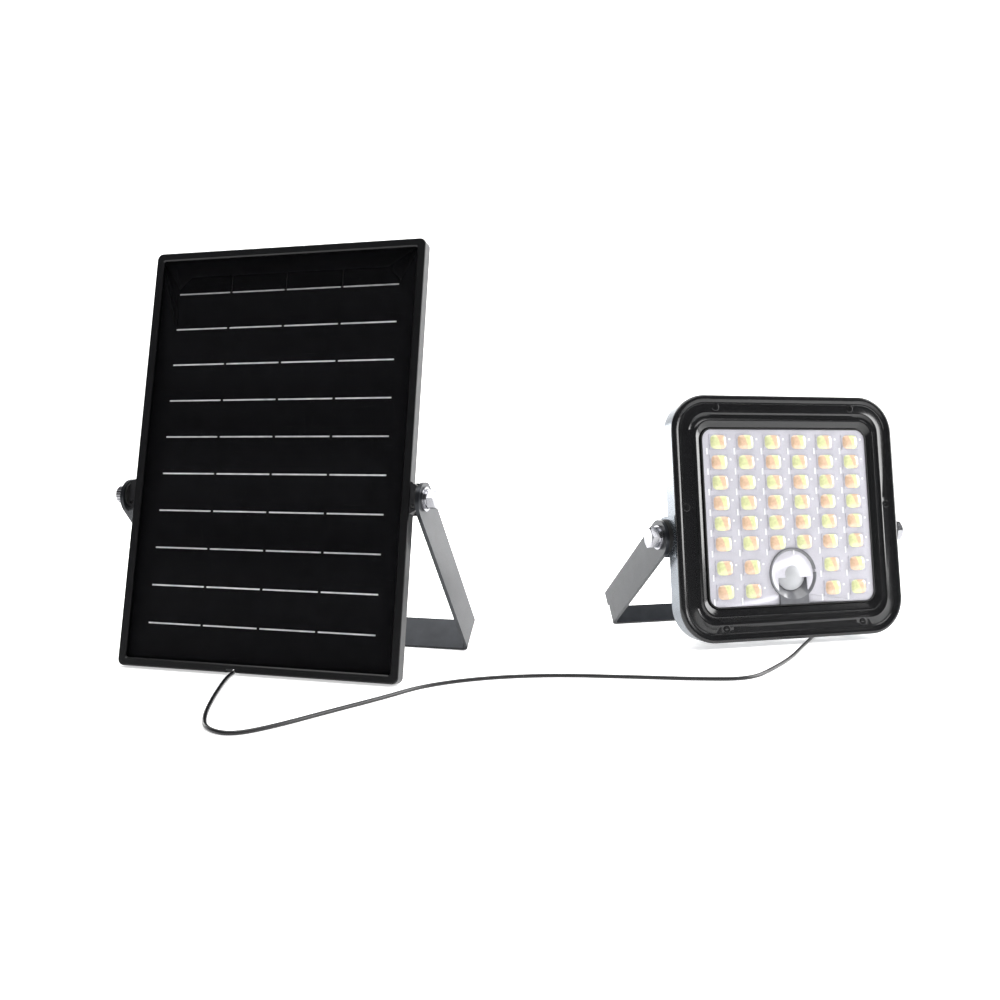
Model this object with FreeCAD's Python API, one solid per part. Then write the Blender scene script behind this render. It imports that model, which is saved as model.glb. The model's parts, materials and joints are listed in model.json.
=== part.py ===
import FreeCAD, Part
import math
import os

# Solar flood light: a framed solar panel and a square LED lamp, each held in its own
# U-bracket, standing on one surface and joined by a cable.  Millimetres, +Z up.
# Each of the two assemblies is modelled upright about its own tilt axis: x to the right,
# y towards the back, z up along the front face.  It is then leaned back and set in place.

V = FreeCAD.Vector
EPS = 0.01

# ---- where the two assemblies stand (row frame) ----
PANEL_X = -174.0           # middle of the panel's width
PANEL_Y = -213.97          # lower front edge of the panel
PANEL_LEAN = 10.7          # degrees back from upright
LAMP_X = 215.6             # middle of the lamp's lower front edge
LAMP_Y = 22.53
LAMP_LEAN = 7.5
LAMP_YAW = 32.6            # degrees, the lamp turned towards the right

# ---- solar panel ----
PANEL_W = 232.0
PANEL_H = 330.0
PANEL_DEPTH = 10.0
PANEL_CORNER_R = 5.0
PANEL_PIVOT_UP = 133.5     # tilt axis above the lower edge
PANEL_PIVOT_BACK = 7.5     # tilt axis behind the front face
BEZEL_W = 6.4              # visible width of the frame around the glass
LIP_T = 1.8                # frame lip in front of the glass
FRAME_WALL = 2.6
GLASS_T = 3.0
RIBBON_T = 0.15
CELL_T = 0.30
BACKSHEET_T = 0.5
CELL_COLUMNS = 4
CELL_ROWS = 10
CELL_ARRAY_W = 192.0
CELL_ARRAY_H = 292.0
CELL_GAP = 1.2
CELL_CHAMFER = 10.0
RIBBON_W = 1.1
JBOX_W, JBOX_H, JBOX_DEPTH, JBOX_WALL = 64.0, 50.0, 18.0, 2.0
JBOX_TOP = -12.0           # top of the junction box, from the tilt axis
JBOX_GLAND_X = -20.0
CABLE_NOTCH_X = -17.4
CABLE_NOTCH_W = 8.0
CABLE_NOTCH_H = 4.6
EAR_OUT = 4.9              # the pivot ear stands this far out from the frame's side
EAR_HOLE_R = 1.6
M8_R = 4.0

# ---- lamp ----
LAMP_W = 218.0
LAMP_H = 211.0
LAMP_CORNER_R = 32.0
LAMP_PIVOT_UP = 91.0
LAMP_PIVOT_BACK = 22.0
LAMP_MID_Z = LAMP_H / 2 - LAMP_PIVOT_UP
COVER_T = 6.0              # front cover frame, from its front to the seal
COVER_SIDE_T = 2.4         # the cover's edge seen from the side; the rest sits inside the shell
COVER_STEP = 3.2           # the inner part of the cover is this much narrower on each side
SEAL_T = 1.0
WINDOW_W = 161.6
WINDOW_H = 151.4
WINDOW_R = 9.0
WINDOW_SEAL_W = 1.2
SHELL_BACK = -3.0          # rear wall's outer face, from the tilt axis
SHELL_WALL = 2.5
SHELL_DRAFT = 1.0          # the shell narrows by this on each side towards the back
REAR_BOX_W = 96.0
REAR_BOX_H = 120.0
REAR_BOX_BACK = 15.3
FIN_BACK = 17.3
FIN_T = 2.4
LENS_COLUMNS, LENS_ROWS = 6, 8
LENS_PITCH_X, LENS_PITCH_Z = 26.2, 17.5
LENS_TOP_Z = 65.0          # first row above the middle of the window
LOWER_PITCH_Z = 20.4       # the two rows beside the motion sensor are further apart
LOWER_ROWS = 2
LENS_W, LENS_H, LENS_RISE = 15.0, 11.6, 1.8
SENSOR_Z = -50.0           # motion sensor below the middle of the window
SENSOR_RING_R = 22.8
SENSOR_DOME_R = 14.0
SENSOR_NECK_W = 28.0
SCREW_SPOTS = ((66.9, 95.0), (98.8, 9.3), (67.0, -94.3))
M10_R = 5.0
LAMP_GLAND_X = 38.0
BUTTON_X, BUTTON_Z = -28.0, 42.0
BUTTON_R = 5.0

# ---- brackets ----
STRIP_T = 3.0
BEND_R = 2.0               # inside radius of the bends
PANEL_ARM = 166.0          # tilt axis to the outer face of the base
PANEL_STRIP_W = 29.0
PANEL_ARM_GAP = 6.2        # frame's side to the arm's inner face
LAMP_ARM = 136.5
LAMP_STRIP_W = 33.0
LAMP_BASE_W = 17.5         # the lamp bracket's base is narrower than its arms
LAMP_ARM_GAP = 3.4
RELIEF_W = 2.0             # gap beside a narrow base's bend
FIXING_R = 4.25            # centre hole of the base, for M8
SLOT_R = 3.25              # outer holes of the base, for M6
SLOT_SPACING = 70.0
ARM_END_CUT = 3.0          # the arm's end stops this much short of its half width
RUN_CLEAR = 0.08           # radial clearance of an arm on its bolt
FACE_CLEAR = 0.1           # gap between faces that turn on each other

# ---- cable ----
CABLE_R = 1.4
# Route of the cable between the two glands' ends, row frame.
CABLE_ROUTE = (
    (-194.0, -191.5, 40.0),
    (-194.8, -189.5, 20.5),
    (-194.2, -188.5, 1.4),
    (-190.4, -217.0, 1.4),
    (-175.4, -254.0, 1.4),
    (-158.9, -291.0, 1.4),
    (-143.4, -322.0, 1.4),
    (-128.4, -344.0, 1.4),
    (-107.4, -351.0, 1.4),
    (-91.4, -328.0, 1.4),
    (-73.9, -287.5, 1.4),
    (-53.9, -245.0, 1.4),
    (-40.4, -208.0, 1.4),
    (-5.4, -173.0, 1.4),
    (40.6, -151.0, 1.4),
    (93.6, -141.5, 1.4),
    (146.6, -133.5, 1.4),
    (181.6, -122.5, 1.4),
    (197.6, -80.0, 1.4),
    (210.6, -36.0, 1.4),
    (219.6, 12.0, 1.4),
    (226.6, 46.0, 1.4),
    (231.1, 70.0, 1.4),
    (230.8, 69.5, 18.5),
)


# ---- basic shapes ----
def box(x0, x1, y0, y1, z0, z1):
    return Part.makeBox(x1 - x0, y1 - y0, z1 - z0, V(x0, y0, z0))


def rod_x(x0, x1, radius, y=0.0, z=0.0):
    return Part.makeCylinder(radius, x1 - x0, V(x0, y, z), V(1, 0, 0))


def rod_y(y0, y1, radius, x=0.0, z=0.0):
    return Part.makeCylinder(radius, y1 - y0, V(x, y0, z), V(0, 1, 0))


def rod_z(z0, z1, radius, x=0.0, y=0.0):
    return Part.makeCylinder(radius, z1 - z0, V(x, y, z0), V(0, 0, 1))


def washer_x(x0, thickness, outer_r, inner_r):
    return rod_x(x0, x0 + thickness, outer_r).cut(rod_x(x0, x0 + thickness, inner_r))


def hexagon(across_flats, start, along, length, turn=0.0):
    """Hexagonal prism from a start point along a direction."""
    radius = across_flats / math.sqrt(3.0)
    points = []
    for i in range(7):
        angle = math.radians(60.0 * i + turn)
        points.append(V(radius * math.cos(angle), radius * math.sin(angle), 0))
    prism = Part.Face(Part.makePolygon(points)).extrude(V(0, 0, length))
    prism.Placement = FreeCAD.Placement(start, FreeCAD.Rotation(V(0, 0, 1), along))
    return prism


def rounded_wire(width, height, radius, y, mid_z=0.0):
    """Closed rounded rectangle in the plane at depth y."""
    half_w, half_h = width / 2, height / 2
    corner_x, corner_z = half_w - radius, half_h - radius
    slant = radius * math.sqrt(0.5)
    edges = []
    for turn, reach, side in ((0, half_w, corner_z), (1, half_h, corner_x),
                              (2, half_w, corner_z), (3, half_h, corner_x)):
        cos_t, sin_t = (1, 0, -1, 0)[turn], (0, 1, 0, -1)[turn]

        def at(out, along):
            return V(out * cos_t - along * sin_t, y, mid_z + out * sin_t + along * cos_t)

        inner = reach - radius
        edges.append(Part.LineSegment(at(reach, -side), at(reach, side)).toShape())
        arc = Part.Arc(at(reach, side), at(inner + slant, side + slant), at(inner, side + radius))
        edges.append(arc.toShape())
    return Part.Wire(edges)


def rounded_block(width, height, radius, y0, y1, mid_z=0.0):
    face = Part.Face(rounded_wire(width, height, radius, y0, mid_z))
    return face.extrude(V(0, y1 - y0, 0))


def rounded_ring(outer, inner, y0, y1, mid_z=0.0):
    """Ring between two rounded rectangles, each given as (width, height, radius)."""
    return rounded_block(*outer, y0, y1, mid_z).cut(rounded_block(*inner, y0, y1, mid_z))


def edges_at_depth(solid, y):
    return [e for e in solid.Edges if all(abs(v.Point.y - y) < EPS for v in e.Vertexes)]


def mirrored(shape):
    return shape.mirror(V(0, 0, 0), V(1, 0, 0))


def group(shapes):
    return Part.makeCompound(shapes)


def both_sides(shape):
    return group([shape, mirrored(shape)])


# ---- U-bracket shared by the panel and the lamp ----
def u_bracket(inner_half, strip_w, base_w, arm, bolt_r, angle):
    """Bent strip: two arms down from the tilt axis and a base; swung back by angle."""
    outer_half = inner_half + STRIP_T
    half_w = strip_w / 2
    top = half_w - ARM_END_CUT

    def u_solid(half, bottom, radius):
        corner = half - radius
        low = bottom + radius
        slant = radius * math.sqrt(0.5)
        left, right = V(-half, -half_w, top), V(half, -half_w, top)
        edges = [
            Part.LineSegment(left, V(-half, -half_w, low)).toShape(),
            Part.Arc(V(-half, -half_w, low), V(-corner - slant, -half_w, low - slant),
                     V(-corner, -half_w, bottom)).toShape(),
            Part.LineSegment(V(-corner, -half_w, bottom), V(corner, -half_w, bottom)).toShape(),
            Part.Arc(V(corner, -half_w, bottom), V(corner + slant, -half_w, low - slant),
                     V(half, -half_w, low)).toShape(),
            Part.LineSegment(V(half, -half_w, low), right).toShape(),
            Part.LineSegment(right, left).toShape(),
        ]
        return Part.Face(Part.Wire(edges)).extrude(V(0, strip_w, 0))

    strip = u_solid(outer_half, -arm, BEND_R + STRIP_T)
    strip = strip.cut(u_solid(inner_half, STRIP_T - arm, BEND_R))
    end = rod_x(-outer_half, outer_half, half_w, 0, -ARM_END_CUT)
    below = box(-outer_half, outer_half, -half_w, half_w, -arm, -ARM_END_CUT)
    strip = strip.common(end.fuse(below))
    strip = strip.cut(rod_x(-outer_half, outer_half, bolt_r + RUN_CLEAR))
    if base_w < strip_w:
        base_back = base_w - half_w
        bend_top = BEND_R + STRIP_T - arm
        strip = strip.cut(box(-outer_half, outer_half, base_back, half_w, -arm, bend_top))
        tip = box(inner_half, outer_half, base_back + RELIEF_W, half_w, 1.5 - arm, bend_top)
        strip = strip.fuse([tip, mirrored(tip)]).removeSplitter()
    middle = (base_w - strip_w) / 2
    strip = strip.cut(rod_z(-arm, STRIP_T - arm, FIXING_R, 0, middle))
    for x in (-SLOT_SPACING / 2, SLOT_SPACING / 2):
        strip = strip.cut(rod_z(-arm, STRIP_T - arm, SLOT_R, x, middle))
    strip.rotate(V(0, 0, 0), V(1, 0, 0), angle)
    return strip


def standing_angle(pivot_height, arm, strip_w):
    """Swing at which the front edge of the base's outer face rests on the surface."""
    half_w = strip_w / 2
    reach = math.hypot(arm, half_w)
    return math.degrees(math.atan2(half_w, arm) + math.acos(pivot_height / reach))


GLAND_LENGTH = 11.0
GLAND_NUT_FLATS = 9.4


def cable_gland(start, along):
    """Cable gland closed around the cable: flange, hexagon and tapered clamping dome."""
    flange = Part.makeCylinder(6.6, 1.2, start, along)
    hexed = hexagon(11.0, start + along * 1.2, along, 3.6)
    dome = Part.makeCone(5.2, 2.6, 6.2, start + along * 4.8, along)
    return flange.fuse([hexed, dome]).removeSplitter()


# ---- solar panel: frame and laminate ----
FRAME_FRONT = -PANEL_PIVOT_BACK
FRAME_BACK = PANEL_DEPTH - PANEL_PIVOT_BACK
PANEL_MID_Z = PANEL_H / 2 - PANEL_PIVOT_UP
POCKET_W = PANEL_W - 2 * FRAME_WALL
POCKET_H = PANEL_H - 2 * FRAME_WALL
GLASS_FRONT = FRAME_FRONT + LIP_T
RIBBON_FRONT = GLASS_FRONT + GLASS_T
CELL_FRONT = RIBBON_FRONT + RIBBON_T
BACKSHEET_FRONT = CELL_FRONT + CELL_T
BACKSHEET_BACK = BACKSHEET_FRONT + BACKSHEET_T
PANEL_HALF = PANEL_W / 2


def panel_frame():
    """Moulded frame: rounded rim, lip in front of the glass, pads for the ears, cable notch."""
    rim = rounded_block(PANEL_W, PANEL_H, PANEL_CORNER_R, FRAME_FRONT, FRAME_BACK, PANEL_MID_Z)
    rim = rim.makeFillet(1.2, edges_at_depth(rim, FRAME_FRONT))
    window_w, window_h = PANEL_W - 2 * BEZEL_W, PANEL_H - 2 * BEZEL_W
    window = rounded_block(window_w, window_h, 2.0, FRAME_FRONT - 1, FRAME_BACK + 1, PANEL_MID_Z)
    bevel = Part.makeLoft([
        rounded_wire(window_w + 1.8, window_h + 1.8, 2.6, FRAME_FRONT - EPS, PANEL_MID_Z),
        rounded_wire(window_w, window_h, 2.0, FRAME_FRONT + 0.9, PANEL_MID_Z)], True, True)
    pocket = rounded_block(POCKET_W, POCKET_H, 2.4, GLASS_FRONT, FRAME_BACK + 1, PANEL_MID_Z)
    frame = rim.cut([window, bevel, pocket])
    pad = box(PANEL_HALF - 22, PANEL_HALF - FRAME_WALL, BACKSHEET_BACK, FRAME_BACK, -14, 14)
    frame = frame.fuse([pad, mirrored(pad)])
    screw_holes = []
    for side in (-1, 1):
        for z in (-8.0, 8.0):
            screw_holes.append(rod_y(BACKSHEET_BACK, FRAME_BACK, 1.5, side * (PANEL_HALF - 15), z))
    low = -PANEL_PIVOT_UP
    arch_z = low + CABLE_NOTCH_H - CABLE_NOTCH_W / 2
    arch = rod_y(FRAME_FRONT - 1, FRAME_BACK + 1, CABLE_NOTCH_W / 2, CABLE_NOTCH_X, arch_z)
    slot = box(CABLE_NOTCH_X - CABLE_NOTCH_W / 2, CABLE_NOTCH_X + CABLE_NOTCH_W / 2,
               FRAME_FRONT - 1, FRAME_BACK + 1, low - 1, arch_z)
    keep = rounded_ring((POCKET_W, POCKET_H, 2.4), (window_w, window_h, 2.0),
                        GLASS_FRONT - LIP_T, GLASS_FRONT, PANEL_MID_Z)
    notch = arch.fuse(slot).cut(keep)
    return frame.cut(screw_holes + [notch])


def panel_glass():
    return rounded_block(POCKET_W - 0.4, POCKET_H - 0.4, 2.0, GLASS_FRONT,
                         RIBBON_FRONT, PANEL_MID_Z)


def cell_spot(column, row):
    """Centre of one cell and the size of its share of the array."""
    share_w, share_h = CELL_ARRAY_W / CELL_COLUMNS, CELL_ARRAY_H / CELL_ROWS
    x = (column + 0.5) * share_w - CELL_ARRAY_W / 2
    z = (row + 0.5) * share_h - CELL_ARRAY_H / 2 + PANEL_MID_Z
    return x, z, share_w - CELL_GAP, share_h - CELL_GAP


def solar_cells():
    """One thin wafer per cell; the array's four outer corners are cut off at 45 degrees."""
    cells = []
    for column in range(CELL_COLUMNS):
        for row in range(CELL_ROWS):
            x, z, w, h = cell_spot(column, row)
            cell = box(x - w / 2, x + w / 2, CELL_FRONT, BACKSHEET_FRONT, z - h / 2, z + h / 2)
            if column in (0, CELL_COLUMNS - 1) and row in (0, CELL_ROWS - 1):
                side = -1 if column == 0 else 1
                up = -1 if row == 0 else 1
                corner = V(x + side * w / 2, CELL_FRONT, z + up * h / 2)
                along_x = corner - V(side * CELL_CHAMFER, 0, 0)
                along_z = corner - V(0, 0, up * CELL_CHAMFER)
                face = Part.Face(Part.makePolygon([corner, along_x, along_z, corner]))
                cell = cell.cut(face.extrude(V(0, CELL_T, 0)))
            cells.append(cell)
    return group(cells)


def cell_ribbons():
    """Tinned copper ribbon across the middle of every cell."""
    ribbons = []
    for column in range(CELL_COLUMNS):
        for row in range(CELL_ROWS):
            x, z, w, _ = cell_spot(column, row)
            ribbons.append(box(x - w / 2 + 0.6, x + w / 2 - 0.6, RIBBON_FRONT, CELL_FRONT,
                               z - RIBBON_W / 2, z + RIBBON_W / 2))
    return group(ribbons)


def encapsulant(cells, ribbons):
    sheet = rounded_block(POCKET_W - 0.4, POCKET_H - 0.4, 2.0, RIBBON_FRONT,
                          BACKSHEET_FRONT, PANEL_MID_Z)
    return sheet.cut(cells.Solids + ribbons.Solids)


def panel_backsheet():
    return rounded_block(POCKET_W - 0.4, POCKET_H - 0.4, 2.0, BACKSHEET_FRONT,
                         BACKSHEET_BACK, PANEL_MID_Z)


def panel_seal():
    """Bead that holds the laminate against the lip, broken at the ear pads."""
    ring = rounded_ring((POCKET_W, POCKET_H, 2.4), (POCKET_W - 7, POCKET_H - 7, 2.0),
                        BACKSHEET_BACK, BACKSHEET_BACK + 1.4, PANEL_MID_Z)
    gap = box(-PANEL_HALF, PANEL_HALF, BACKSHEET_BACK, FRAME_BACK, -14.2, 14.2)
    return ring.cut(gap)


# ---- solar panel: junction box ----
JBOX_BACK = BACKSHEET_BACK + JBOX_DEPTH
JBOX_LOW = JBOX_TOP - JBOX_H
JBOX_MID_Z = JBOX_TOP - JBOX_H / 2
JBOX_AXIS_Y = BACKSHEET_BACK + 9.2
LID_T = 2.2
JBOX_SCREWS = [(x, JBOX_MID_Z + z) for x in (-26.5, 26.5) for z in (-15.0, 15.0)]


def junction_box():
    wall_end = JBOX_BACK - LID_T
    shell = rounded_block(JBOX_W, JBOX_H, 4.0, BACKSHEET_BACK, wall_end, JBOX_MID_Z)
    hollow = rounded_block(JBOX_W - 2 * JBOX_WALL, JBOX_H - 2 * JBOX_WALL, 2.5,
                           BACKSHEET_BACK + 2.0, wall_end, JBOX_MID_Z)
    posts = []
    holes = []
    for x, z in JBOX_SCREWS:
        posts.append(rod_y(BACKSHEET_BACK + 1.0, wall_end, 3.6, x, z))
        holes.append(rod_y(wall_end - 8.0, wall_end, 1.4, x, z))
    gland_hole = rod_z(JBOX_LOW - 1, JBOX_LOW + JBOX_WALL + 1, 4.0, JBOX_GLAND_X, JBOX_AXIS_Y)
    tab_slot = box(-14, 14, BACKSHEET_BACK, BACKSHEET_BACK + 2.0, JBOX_TOP - 8, JBOX_TOP - 5)
    return shell.cut(hollow).fuse(posts).cut(holes + [gland_hole, tab_slot])


def junction_box_lid():
    lid = rounded_block(JBOX_W, JBOX_H, 4.0, JBOX_BACK - LID_T, JBOX_BACK, JBOX_MID_Z)
    lid = lid.makeFillet(0.9, edges_at_depth(lid, JBOX_BACK))
    for x, z in JBOX_SCREWS:
        lid = lid.cut(rod_y(JBOX_BACK - LID_T, JBOX_BACK, 1.7, x, z))
        lid = lid.cut(rod_y(JBOX_BACK - 1.1, JBOX_BACK, 3.0, x, z))
    return lid


def small_screw(x, z, head_face, head_r, head_t, shank_r, reach):
    """Pan-head screw driven forwards (towards -y) from its head's outer face."""
    head = rod_y(head_face - head_t, head_face, head_r, x, z)
    shank = rod_y(head_face - head_t - reach, head_face - head_t, shank_r, x, z)
    cross = box(x - 1.4, x + 1.4, head_face - 0.7, head_face, z - 0.3, z + 0.3)
    across = box(x - 0.3, x + 0.3, head_face - 0.7, head_face, z - 1.4, z + 1.4)
    return head.fuse(shank).cut([cross, across])


def junction_box_screws():
    screws = []
    for x, z in JBOX_SCREWS:
        screws.append(small_screw(x, z, JBOX_BACK - 0.1, 2.8, 1.0, 1.4, 8.0))
    return group(screws)


def junction_terminals():
    """Two brass clamps on the junction box's floor, with their solder tabs."""
    clamps = []
    floor = BACKSHEET_BACK + 2.0
    for x in (-10.0, 10.0):
        base = box(x - 4, x + 4, floor, floor + 6.0, JBOX_MID_Z + 2, JBOX_MID_Z + 12)
        hole = rod_z(JBOX_MID_Z + 2, JBOX_MID_Z + 12, 1.3, x, floor + 3.0)
        clamps.append(base.cut(hole))
    return group(clamps)


def blocking_diode():
    """Axial diode lying between the two clamps."""
    y = BACKSHEET_BACK + 5.0
    z = JBOX_MID_Z - 4.0
    return rod_x(-4.5, 4.5, 2.7, y, z).fuse(rod_x(-13.0, 13.0, 0.6, y, z))


def panel_gland():
    return cable_gland(V(JBOX_GLAND_X, JBOX_AXIS_Y, JBOX_LOW), V(0, 0, -1))


def panel_gland_nut():
    ring = hexagon(GLAND_NUT_FLATS, V(JBOX_GLAND_X, JBOX_AXIS_Y, JBOX_LOW + JBOX_WALL), V(0, 0, 1), 3.0)
    stub = rod_z(JBOX_LOW, JBOX_LOW + JBOX_WALL + 3, 3.95, JBOX_GLAND_X, JBOX_AXIS_Y)
    return ring.fuse(stub)


# ---- solar panel: pivots ----
EAR_TIP = PANEL_HALF + EAR_OUT
PANEL_ARM_IN = PANEL_HALF + PANEL_ARM_GAP
PANEL_ARM_OUT = PANEL_ARM_IN + STRIP_T
EAR_BACK = 8.0
HEX_TURN = 30.0            # turns a hexagon's corners to the front and back


def panel_ear():
    """Tapered pivot ear on the frame's right side, with a foot on the back of the frame."""
    outline = [V(PANEL_HALF, 0, -12), V(EAR_TIP, 0, -9), V(EAR_TIP, 0, 9), V(PANEL_HALF, 0, 12)]
    face = Part.Face(Part.makePolygon(outline + outline[:1]))
    ear = face.extrude(V(0, EAR_BACK + 6.5, 0))
    ear.translate(V(0, -6.5, 0))
    foot = box(PANEL_HALF - 22, EAR_TIP - 2, FRAME_BACK, FRAME_BACK + 3.0, -12, 12)
    web = box(PANEL_HALF - 6, PANEL_HALF, FRAME_BACK, EAR_BACK, -12, 12)
    ear = ear.fuse([foot, web]).removeSplitter()
    cuts = [rod_x(PANEL_HALF - 7, EAR_TIP, M8_R + 0.05),
            rod_y(-7, EAR_BACK, EAR_HOLE_R, PANEL_HALF + 2.4, -6.6)]
    for z in (-8.0, 8.0):
        cuts.append(rod_y(FRAME_BACK, FRAME_BACK + 3.0, 1.7, PANEL_HALF - 15, z))
    return ear.cut(cuts)


def panel_ear_screws():
    screws = []
    for side in (-1, 1):
        for z in (-8.0, 8.0):
            x = side * (PANEL_HALF - 15)
            screws.append(small_screw(x, z, FRAME_BACK + 4.9, 2.8, 1.9, 1.5, 5.6))
    return group(screws)


def hex_bolt(tip, under_head, radius, across_flats, head_t):
    """Chamfered hexagon-head bolt along +x, corners to front and back; no cut thread."""
    shank = rod_x(tip, under_head + 1, radius)
    head = hexagon(across_flats, V(under_head, 0, 0), V(1, 0, 0), head_t, HEX_TURN)
    end_r = 0.48 * across_flats
    cone = Part.makeCone(end_r + head_t * math.sqrt(3), end_r, head_t,
                         V(under_head, 0, 0), V(1, 0, 0))
    return shank.fuse(head.common(cone))


def thumb_screw(tip, under_head):
    """Left clamping screw with a straight-knurled round head, modelled along +x."""
    head_r, head_t, grooves = 6.9, 6.6, 18
    head = rod_x(under_head, under_head + head_t, head_r)
    head = head.makeFillet(0.7, [e for e in head.Edges if len(e.Vertexes) == 1])
    cuts = []
    for i in range(grooves):
        angle = 2 * math.pi * i / grooves
        cuts.append(rod_x(under_head - 1, under_head + head_t + 1, 0.62,
                          head_r * math.cos(angle), head_r * math.sin(angle)))
    return rod_x(tip, under_head, M8_R).fuse(head.cut(cuts))


FLAT_M8, SPRING_M8 = 1.6, 2.0
FLAT_M10, SPRING_M10 = 2.0, 1.8
PANEL_BOLT_TIP = PANEL_HALF + 0.2


def spring_washer(x0, thickness, outer_r, inner_r):
    """Split ring with the slanted gap of a spring washer."""
    gap = box(x0 - 1, x0 + thickness + 1, -0.5, 0.5, inner_r - 1, outer_r + 1)
    gap.rotate(V(x0 + thickness / 2, 0, 0), V(0, 0, 1), 0)
    gap.rotate(V(x0 + thickness / 2, 0, (inner_r + outer_r) / 2), V(0, 0, 1), 25)
    return washer_x(x0, thickness, outer_r, inner_r).cut(gap)


# ---- lamp: front ----
LAMP_FRONT = -LAMP_PIVOT_BACK
COVER_EDGE = LAMP_FRONT + COVER_SIDE_T
COVER_BACK = LAMP_FRONT + COVER_T
SHELL_FRONT = COVER_EDGE + 0.3
SEAL_BACK = COVER_BACK + SEAL_T
OPENING = (WINDOW_W + 2 * WINDOW_SEAL_W, WINDOW_H + 2 * WINDOW_SEAL_W, WINDOW_R + WINDOW_SEAL_W)
LENS_FRONT = LAMP_FRONT + 2.3
LENS_BACK = LENS_FRONT + 1.7
MIRROR_BACK = LENS_BACK + 1.0
LED_FRONT = MIRROR_BACK + 0.1
BOARD_FRONT = LED_FRONT + 0.8
BOARD_BACK = BOARD_FRONT + 1.6
SENSOR_MID_Z = LAMP_MID_Z + SENSOR_Z


def inset(amount, radius_floor=2.0):
    """The cover's outline drawn in by an amount, for ridges and steps."""
    return (LAMP_W - 2 * amount, LAMP_H - 2 * amount, max(LAMP_CORNER_R - amount, radius_floor))


def around(amount):
    """The window's opening drawn out by an amount."""
    return (OPENING[0] + 2 * amount, OPENING[1] + 2 * amount, OPENING[2] + amount)


def screw_spots():
    spots = []
    for x, z in SCREW_SPOTS:
        spots += [(-x, LAMP_MID_Z + z), (x, LAMP_MID_Z + z)]
    return spots


def lamp_cover():
    """Front cover frame: rounded rim, flat band with screw recesses, bead and inner band."""
    cover = rounded_block(LAMP_W, LAMP_H, LAMP_CORNER_R, LAMP_FRONT, COVER_EDGE, LAMP_MID_Z)
    cover = cover.makeFillet(1.8, edges_at_depth(cover, LAMP_FRONT))
    cover = cover.fuse(rounded_block(*inset(COVER_STEP), COVER_EDGE, COVER_BACK, LAMP_MID_Z))
    deep = COVER_T + 2
    band = rounded_ring(inset(4.6), inset(6.0), LAMP_FRONT - 1, LAMP_FRONT + 0.9, LAMP_MID_Z)
    step = rounded_ring(around(10.0), around(5.4), LAMP_FRONT - 1, LAMP_FRONT + 1.2, LAMP_MID_Z)
    shelf = rounded_ring(around(4.0), OPENING, LAMP_FRONT - 1, LAMP_FRONT + 1.0, LAMP_MID_Z)
    opening = rounded_block(*OPENING, LAMP_FRONT - 1, LAMP_FRONT + deep, LAMP_MID_Z)
    rebate = rounded_block(*around(4.0), LENS_FRONT + 1.0, COVER_BACK + 1, LAMP_MID_Z)
    cuts = [band, step, shelf, opening, rebate]
    for x, z in screw_spots():
        cuts.append(rod_y(LAMP_FRONT - 1, LAMP_FRONT + 3.0, 6.4, x, z))
        cuts.append(rod_y(LAMP_FRONT, COVER_BACK + 1, 2.1, x, z))
    return cover.cut(cuts)


def lamp_cover_screws():
    """Pan-head screws with a cross recess, driven backwards from the front."""
    screws = []
    seat = LAMP_FRONT + 3.0
    for x, z in screw_spots():
        head = rod_y(seat - 2.2, seat, 3.6, x, z)
        head = head.makeFillet(0.8, edges_at_depth(head, seat - 2.2))
        cross = box(x - 1.9, x + 1.9, seat - 2.3, seat - 1.2, z - 0.4, z + 0.4)
        across = box(x - 0.4, x + 0.4, seat - 2.3, seat - 1.2, z - 1.9, z + 1.9)
        screws.append(head.fuse(rod_y(seat, seat + 12.0, 2.0, x, z)).cut([cross, across]))
    return group(screws)


def shell_seal():
    """Silicone seal between the cover and the rear shell."""
    ring = rounded_ring(inset(COVER_STEP), around(5.0), COVER_BACK, SEAL_BACK, LAMP_MID_Z)
    return ring.cut([rod_y(COVER_BACK, SEAL_BACK, 2.1, x, z) for x, z in screw_spots()])


def window_seal():
    """Black seal seen as a thin line around the window; its flange is under the cover."""
    lip = rounded_ring(OPENING, (WINDOW_W, WINDOW_H, WINDOW_R), LAMP_FRONT + 1.4,
                       LENS_FRONT + 1.0, LAMP_MID_Z)
    return lip


def sensor_outline(extra, y0, y1):
    """Keyhole outline of the sensor's ring: a disc with a neck down to the cover."""
    disc = rod_y(y0, y1, SENSOR_RING_R + extra, 0, SENSOR_MID_Z)
    low = LAMP_MID_Z - WINDOW_H / 2
    half = SENSOR_NECK_W / 2 + extra
    neck = box(-half, half, y0, y1, low, SENSOR_MID_Z)
    return disc.fuse(neck)


def lens_spots():
    """Centres of the lenses; the two middle columns stop above the motion sensor."""
    spots = []
    for row in range(LENS_ROWS):
        for column in range(LENS_COLUMNS):
            if row >= LENS_ROWS - LOWER_ROWS and column in (2, 3):
                continue
            x = (column - (LENS_COLUMNS - 1) / 2) * LENS_PITCH_X
            lower = max(0, row - (LENS_ROWS - LOWER_ROWS - 1))
            down = row * LENS_PITCH_Z + lower * (LOWER_PITCH_Z - LENS_PITCH_Z)
            spots.append((x, LAMP_MID_Z + LENS_TOP_Z - down, (row + column) % 2))
    return spots


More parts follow.
